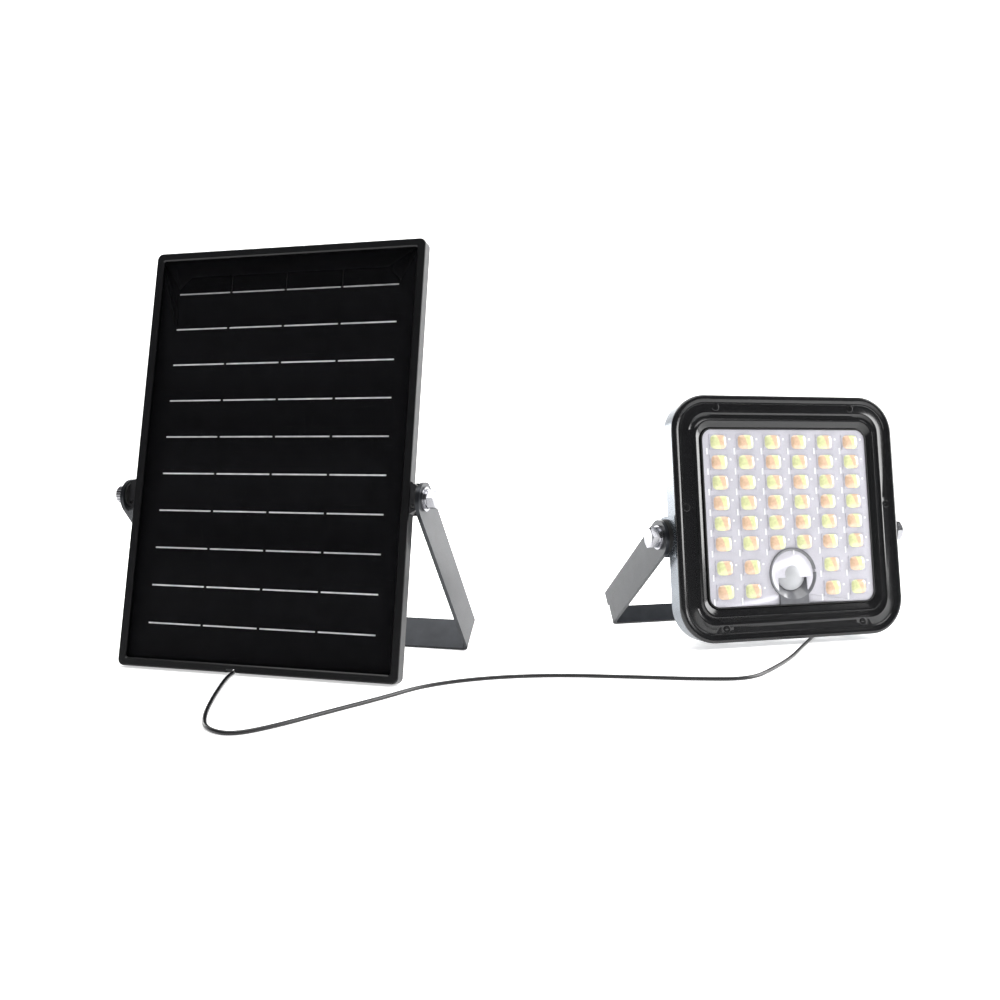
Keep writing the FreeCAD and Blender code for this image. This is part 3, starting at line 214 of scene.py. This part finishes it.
MATERIALS = {
    "frame_black": plain_finish("frame_black", (0.005, 0.0052, 0.006), 0.35, specular=0.35),
    "panel_glass": plain_finish("panel_glass", (0.02, 0.02, 0.022), 0.06, vary=0.05,
                                depth=0.000002, specular=0.1, alpha=0.06),
    "encapsulant": plain_finish("encapsulant", (0.005, 0.005, 0.006), 0.55, specular=0.05),
    "silicon_cell": plain_finish("silicon_cell", (0.0022, 0.0023, 0.003), 0.35, vary=0.3,
                                 specular=0.1),
    "tinned_ribbon": plain_finish("tinned_ribbon", (0.9, 0.9, 0.92), 0.45, vary=0.3, patch=160.0,
                                  metallic=0.1),
    "backsheet": plain_finish("backsheet", (0.34, 0.345, 0.35), 0.55, vary=0.06),
    "seal_bead": plain_finish("seal_bead", (0.008, 0.008, 0.008), 0.5),
    "box_black": plain_finish("box_black", (0.016, 0.016, 0.018), 0.5, grain=1400.0,
                              depth=0.00008),
    "zinc_screw": plain_finish("zinc_screw", (0.45, 0.45, 0.46), 0.28, metallic=1.0),
    "dark_screw": plain_finish("dark_screw", (0.02, 0.02, 0.021), 0.22, metallic=0.6),
    "brass": plain_finish("brass", (0.7, 0.52, 0.24), 0.3, metallic=1.0),
    "diode_black": plain_finish("diode_black", (0.01, 0.01, 0.01), 0.25),
    "gland_black": plain_finish("gland_black", (0.012, 0.012, 0.013), 0.4),
    "bright_steel": plain_finish("bright_steel", (0.34, 0.34, 0.36), 0.2, vary=0.05,
                                 depth=0.000002, metallic=1.0),
    "washer_rubber": plain_finish("washer_rubber", (0.01, 0.01, 0.01), 0.6),
    "bracket_paint": plain_finish("bracket_paint", (0.022, 0.024, 0.028), 0.36, grain=1800.0,
                                  depth=0.00002, metallic=0.6),
    "shell_paint": plain_finish("shell_paint", (0.16, 0.178, 0.20), 0.3, vary=0.06, grain=1500.0,
                                depth=0.00001, metallic=0.85),
    "cover_gloss": plain_finish("cover_gloss", (0.006, 0.0062, 0.007), 0.22, specular=0.4,
                                coat=0.3, coat_roughness=0.1),
    "lens_clear": plain_finish("lens_clear", (0.66, 0.65, 0.71), 0.26, vary=0.08, patch=60.0,
                               metallic=0.15, coat=0.3),
    "lens_pad": plain_finish("lens_pad", (0.60, 0.59, 0.66), 0.25, vary=0.12, patch=400.0,
                             metallic=0.15, coat=0.3),
    "lens_yellow": plain_finish("lens_yellow", (0.74, 0.77, 0.42), 0.16, vary=0.10, patch=500.0,
                                coat=0.8, coat_roughness=0.05),
    "lens_peach": plain_finish("lens_peach", (0.78, 0.55, 0.38), 0.16, vary=0.10, patch=500.0,
                               coat=0.8, coat_roughness=0.05),
    # painted highlight: plain white for the glints beside the lenses
    "painted_glint_white": plain_finish("painted_glint_white", (0.9, 0.9, 0.92), 0.4, vary=0.03),
    "mirror_silver": plain_finish("mirror_silver", (0.62, 0.62, 0.67), 0.35, vary=0.1,
                                  metallic=0.4),
    "board_white": plain_finish("board_white", (0.75, 0.76, 0.76), 0.5, vary=0.05),
    "led_cool": plain_finish("led_cool", (0.80, 0.84, 0.45), 0.4, vary=0.1),
    "led_warm": plain_finish("led_warm", (0.85, 0.52, 0.22), 0.4, vary=0.1),
    "ring_grey": plain_finish("ring_grey", (0.16, 0.163, 0.175), 0.25, coat=0.3),
    "dome_frosted": plain_finish("dome_frosted", (0.5, 0.51, 0.53), 0.35, vary=0.05, coat=0.1),
    "sensor_can": plain_finish("sensor_can", (0.6, 0.6, 0.61), 0.3, metallic=1.0),
    "board_green": plain_finish("board_green", (0.02, 0.16, 0.06), 0.4),
    "cell_wrap": plain_finish("cell_wrap", (0.03, 0.15, 0.4), 0.35),
    "part_black": plain_finish("part_black", (0.012, 0.012, 0.012), 0.35),
    "plug_white": plain_finish("plug_white", (0.78, 0.76, 0.7), 0.45),
    "button_rubber": plain_finish("button_rubber", (0.016, 0.016, 0.018), 0.6),
    "cable_black": plain_finish("cable_black", (0.008, 0.008, 0.009), 0.38, grain=3500.0),
}


def dress_nodes():
    """Gives every CAD node the procedural finish of its material slot."""
    slots = {part["node"]: part["material_slot"] for part in frame["record"]["subparts"]}
    for name, node in frame["nodes"].items():
        node.data.materials.clear()
        node.data.materials.append(MATERIALS[slots[name]])


dress_nodes()
cable.data.materials.append(MATERIALS["cable_black"])


# ---- lamp pieces modelled here: millimetres in the lamp's own axes, y pointing back ----
LAMP_W, LAMP_H, LAMP_MID_Z, LAMP_FRONT = 218.0, 211.0, 14.5, -22.0
SCREW_SPOTS = ((66.9, 95.0), (98.8, 9.3), (67.0, -94.3))
WINDOW_W, WINDOW_H, WINDOW_R = 161.6, 151.4, 9.0
LENS_FRONT, LENS_BACK = -19.7, -18.0
SENSOR_Z, SENSOR_HOLE_R = -50.0, 23.0
SENSOR_NECK_Z, SENSOR_NECK_SIZE = -65.0, (28.4, 4.0, 24.0)
POCKET_R, POCKET_DEPTH = 6.6, 3.0

LENS_COLUMNS, LENS_ROWS = 6, 8
LENS_PITCH_X, LENS_PITCH_Z, LENS_TOP_Z = 26.2, 17.5, 65.0
FULL_ROWS = 6              # the rows below these leave out the two middle columns
LOWER_EXTRA_Z = 2.9        # those rows are this much further apart
LENS_HALF_W, LENS_HALF_H, LENS_RISE = 7.5, 6.1, 2.0
LENS_SQUARENESS = 0.55     # below 1 makes the lens outline squarer
LENS_SIDES, LENS_RINGS = 32, 7
PAD_W, PAD_T, PAD_H = 17.2, 0.6, 13.4
# the white dash and dot beside each lens are painted highlights: thin white blocks standing in for
# glints on the lens pads' edges
GLINT_T = 0.25
GLINT_DASH_PLACE, GLINT_DASH_SIZE = (-11.0, -8.0), (1.3, GLINT_T, 5.5)
GLINT_DOT_PLACE, GLINT_DOT_SIZE = (11.0, 2.4), (1.7, GLINT_T, 1.7)
PAD_FINISH, YELLOW_FINISH, PEACH_FINISH, GLINT_FINISH = 0, 1, 2, 3

# distance in from the cover's side, from its top and bottom, corner radius, depth
COVER_PROFILE = (
    (0.0, 0.0, 32.0, 2.4), (0.0, 0.0, 32.0, 1.5), (0.5, 0.5, 31.5, 0.6), (1.5, 1.5, 30.5, 0.1),
    (2.8, 2.8, 29.2, 0.0), (4.2, 4.2, 27.8, 0.3), (5.9, 5.9, 26.1, 1.0), (6.4, 6.4, 25.6, 1.1),
    (6.8, 6.8, 25.2, 0.6), (7.3, 7.3, 24.7, 0.6), (7.8, 7.8, 24.2, 1.2), (13.8, 13.8, 19.2, 1.2),
    (14.6, 14.6, 18.4, 0.8), (15.4, 15.4, 17.8, 0.8), (16.6, 16.8, 16.8, 1.7),
    (19.4, 20.2, 15.0, 1.7), (20.2, 21.0, 14.4, 0.5), (20.8, 21.6, 14.0, 0.0),
    (21.6, 22.4, 13.4, 0.0), (22.2, 23.2, 13.0, 0.3), (26.2, 27.8, 10.8, 2.4),
    (27.0, 28.6, 10.2, 2.8), (27.0, 28.6, 10.2, 6.0), (3.2, 3.2, 28.8, 6.0), (3.2, 3.2, 28.8, 2.4),
)


def rounded_outline(half_w, half_h, radius, steps=12):
    """Points of a rounded rectangle around the lamp's middle."""
    points = []
    for turn in range(4):
        side = 1 if turn in (0, 3) else -1
        rise = 1 if turn in (0, 1) else -1
        for step in range(steps + 1):
            angle = math.pi / 2 * (turn + step / steps)
            points.append((side * (half_w - radius) + radius * math.cos(angle),
                           LAMP_MID_Z + rise * (half_h - radius) + radius * math.sin(angle)))
    return points


def lamp_object(name, vertices, faces, slot, sharp=35.0):
    """Smooth-shaded mesh given in the lamp's axes and placed in the row frame."""
    mesh = bpy.data.meshes.new(name)
    mesh.from_pydata([LAMP @ Vector(v) for v in vertices], [], faces)
    mesh.materials.append(MATERIALS[slot])
    piece = bpy.data.objects.new(name, mesh)
    bpy.context.collection.objects.link(piece)
    for polygon in mesh.polygons:
        polygon.use_smooth = True
    mesh.set_sharp_from_angle(angle=math.radians(sharp))
    return piece


def cut_away(piece, cutters):
    """Subtracts the cutters from a piece for good and removes them."""
    for cutter in cutters:
        modifier = piece.modifiers.new("cut", "BOOLEAN")
        modifier.operation = "DIFFERENCE"
        modifier.solver = "EXACT"
        modifier.object = cutter
    bpy.context.view_layer.update()
    graph = bpy.context.evaluated_depsgraph_get()
    cut = bpy.data.meshes.new_from_object(piece.evaluated_get(graph))
    piece.modifiers.clear()
    piece.data = cut
    for cutter in cutters:
        bpy.data.objects.remove(cutter)


def drum(radius, x, z, front, back, sides=40):
    """Closed cylinder along y, as vertices and faces."""
    ring = [(x + radius * math.cos(2 * math.pi * i / sides),
             z + radius * math.sin(2 * math.pi * i / sides)) for i in range(sides)]
    vertices = [(px, front, pz) for px, pz in ring] + [(px, back, pz) for px, pz in ring]
    faces = [(i, (i + 1) % sides, (i + 1) % sides + sides, i + sides) for i in range(sides)]
    faces += [tuple(range(sides - 1, -1, -1)), tuple(range(sides, 2 * sides))]
    return vertices, faces


def show_instead(piece, node):
    """The piece moves with the lamp and is shown in place of a CAD node."""
    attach(piece, "panel_and_lamp")
    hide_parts(node)


def cover_shape():
    """The cover's profile carried round its outline, as a closed ring."""
    vertices = []
    for side, end, radius, depth in COVER_PROFILE:
        outline = rounded_outline(LAMP_W / 2 - side, LAMP_H / 2 - end, radius)
        vertices += [(x, LAMP_FRONT + depth, z) for x, z in outline]
    rows, count = len(COVER_PROFILE), len(vertices) // len(COVER_PROFILE)
    faces = []
    for row in range(rows):
        after = (row + 1) % rows
        for i in range(count):
            j = (i + 1) % count
            faces.append((row * count + i, row * count + j, after * count + j, after * count + i))
    return vertices, faces


def add_cover():
    """Front cover around the window, with a pocket for each screw."""
    cover = lamp_object("cover_swept", *cover_shape(), "cover_gloss")
    cutters = []
    for x, z in SCREW_SPOTS:
        for side in (-1, 1):
            shape = drum(POCKET_R, side * x, LAMP_MID_Z + z, LAMP_FRONT - 2,
                         LAMP_FRONT + POCKET_DEPTH)
            cutters.append(lamp_object("pocket", *shape, "cover_gloss"))
    cut_away(cover, cutters)
    show_instead(cover, "lamp_cover")


def lens_centres():
    """Place, row and column of every lens; the lower rows make room for the sensor."""
    centres = []
    middle = (LENS_COLUMNS - 1) / 2
    for row in range(LENS_ROWS):
        for column in range(LENS_COLUMNS):
            if row < FULL_ROWS or abs(column - middle) > 1:
                down = LENS_PITCH_Z * row + LOWER_EXTRA_Z * max(0, row - FULL_ROWS + 1)
                centres.append(((column - middle) * LENS_PITCH_X, LENS_TOP_Z - down, row, column))
    return centres


def add_lens(vertices, faces, colours, x, z, swap):
    """One lens: a smooth squarish dome whose two halves differ in colour."""
    first = len(vertices)
    for ring in range(LENS_RINGS):
        reach = 1 - ring / LENS_RINGS
        for i in range(LENS_SIDES):
            angle = 2 * math.pi * (i + 0.5) / LENS_SIDES
            across, up = math.cos(angle), math.sin(angle)
            out_x = math.copysign(abs(across) ** LENS_SQUARENESS, across)
            out_z = math.copysign(abs(up) ** LENS_SQUARENESS, up)
            vertices.append((x + LENS_HALF_W * reach * out_x,
                             LENS_FRONT - PAD_T - LENS_RISE * (1 - reach ** 2.6) ** 0.6,
                             z + LENS_HALF_H * reach * out_z))
    vertices.append((x, LENS_FRONT - PAD_T - LENS_RISE, z))
    top = len(vertices) - 1
    for ring in range(LENS_RINGS):
        low = first + ring * LENS_SIDES
        high = low + LENS_SIDES
        for i in range(LENS_SIDES):
            j = (i + 1) % LENS_SIDES
            left = LENS_SIDES // 4 <= i + 0.5 < 3 * LENS_SIDES // 4
            if ring < LENS_RINGS - 1:
                faces.append((low + i, low + j, high + j, high + i))
            else:
                faces.append((low + i, low + j, top))
            colours.append(YELLOW_FINISH if left != swap else PEACH_FINISH)


def add_block(vertices, faces, colours, place, size, colour):
    """Box with its front face's middle at a place."""
    x, y, z = place
    first = len(vertices)
    for dx in (-0.5, 0.5):
        for dy in (0, 1):
            for dz in (-0.5, 0.5):
                vertices.append((x + dx * size[0], y + dy * size[1], z + dz * size[2]))
    for quad in ((0, 1, 3, 2), (4, 6, 7, 5), (0, 4, 5, 1), (2, 3, 7, 6), (0, 2, 6, 4), (1, 5, 7, 3)):
        faces.append(tuple(first + k for k in quad))
        colours.append(colour)


def add_window_plate():
    """Silvery plate behind the window's opening, cut out around the motion sensor."""
    outline = rounded_outline(WINDOW_W / 2, WINDOW_H / 2, WINDOW_R)
    count = len(outline)
    vertices = [(x, LENS_FRONT, z) for x, z in outline] + [(x, LENS_BACK, z) for x, z in outline]
    faces = [(i, (i + 1) % count, (i + 1) % count + count, i + count) for i in range(count)]
    faces += [tuple(range(count - 1, -1, -1)), tuple(range(count, 2 * count))]
    plate = lamp_object("window_plate", vertices, faces, "lens_clear")
    hole = lamp_object("hole", *drum(SENSOR_HOLE_R, 0, LAMP_MID_Z + SENSOR_Z, LENS_FRONT - 1,
                                     LENS_BACK + 1, 64), "lens_clear")
    vertices, faces = [], []
    add_block(vertices, faces, [], (0, LENS_FRONT - 1, LAMP_MID_Z + SENSOR_NECK_Z),
              SENSOR_NECK_SIZE, PAD_FINISH)
    neck = lamp_object("neck", vertices, faces, "lens_clear")
    cut_away(plate, [hole, neck])
    show_instead(plate, "lens_plate")


def add_lenses():
    """Lens pads, two-coloured lenses, and beside each a white dash and dot of painted highlight,
    standing in for glints on the pad edges.
    """
    vertices, faces, colours = [], [], []
    for x, up, row, column in lens_centres():
        z = LAMP_MID_Z + up
        add_block(vertices, faces, colours, (x, LENS_FRONT - PAD_T, z),
                  (PAD_W, PAD_T, PAD_H), PAD_FINISH)
        add_lens(vertices, faces, colours, x, z, (row + column) % 2 == 1)
        for place, size in ((GLINT_DASH_PLACE, GLINT_DASH_SIZE), (GLINT_DOT_PLACE, GLINT_DOT_SIZE)):
            add_block(vertices, faces, colours,
                      (x + place[0], LENS_FRONT - GLINT_T, z + place[1]), size, GLINT_FINISH)
    lenses = lamp_object("window_lenses", vertices, faces, "lens_pad", 50.0)
    for name in ("lens_yellow", "lens_peach", "painted_glint_white"):
        lenses.data.materials.append(MATERIALS[name])
    for polygon, colour in zip(lenses.data.polygons, colours):
        polygon.material_index = colour
    show_instead(lenses, "lens_plate")


add_cover()
add_window_plate()
add_lenses()


# ---- light, floor and backdrop ----
def add_light(name, place, target, size, power, colour=(1, 1, 1)):
    data = bpy.data.lights.new(name, "AREA")
    data.shape = "RECTANGLE"
    data.size, data.size_y = size
    data.energy = power
    data.color = colour
    light = bpy.data.objects.new(name, data)
    light.location = place
    direction = Vector(target) - Vector(place)
    light.rotation_euler = direction.to_track_quat("-Z", "Y").to_euler()
    bpy.context.collection.objects.link(light)


def add_floor():
    size, far, rise = 6.0, 2.2, 5.0
    profile = [(-size, 0.0), (far, 0.0)]
    for step in range(1, 13):
        angle = math.pi / 2 * step / 12
        profile.append((far + math.sin(angle), 1 - math.cos(angle)))
    profile.append((far + 1.0, rise))
    vertices = []
    for y, z in profile:
        vertices += [(-size, y, z), (size, y, z)]
    faces = [(2 * i, 2 * i + 1, 2 * i + 3, 2 * i + 2) for i in range(len(profile) - 1)]
    mesh = bpy.data.meshes.new("studio_floor")
    mesh.from_pydata(vertices, [], faces)
    floor = bpy.data.objects.new("studio_floor", mesh)
    bpy.context.collection.objects.link(floor)
    white = plain_finish("studio_white", (0.90, 0.90, 0.90), 0.8, vary=0.01, specular=0.0)
    shader = white.node_tree.nodes["Principled BSDF"]
    shader.inputs["Emission Color"].default_value = (1, 1, 1, 1)
    shader.inputs["Emission Strength"].default_value = 0.55
    mesh.materials.append(white)
    for polygon in mesh.polygons:
        polygon.use_smooth = True


def add_world():
    world = bpy.data.worlds.new("studio")
    world.use_nodes = True
    background = world.node_tree.nodes["Background"]
    background.inputs["Color"].default_value = (1, 1, 1, 1)
    background.inputs["Strength"].default_value = 0.14
    bpy.context.scene.world = world


add_world()
add_floor()
add_light("top_softbox", (0.0, 0.0, 1.9), (0.0, 0.1, 0.0), (2.6, 1.8), 50.0)
add_light("left_softbox", (-1.32, 0.84, 0.28), (0.15, 0.1, 0.15), (1.0, 0.45), 8.0)
add_light("right_softbox", (1.5, 0.5, 0.6), (0.1, 0.1, 0.1), (1.0, 1.0), 26.0)
add_light("backdrop_left", (-1.2, 1.2, 1.9), (-0.4, 3.1, 0.8), (1.5, 1.5), 60.0)
add_light("backdrop_right", (1.2, 1.2, 1.9), (0.4, 3.1, 0.8), (1.5, 1.5), 60.0)
bpy.context.scene.view_settings.view_transform = "Standard"

bpy.context.view_layer.update()
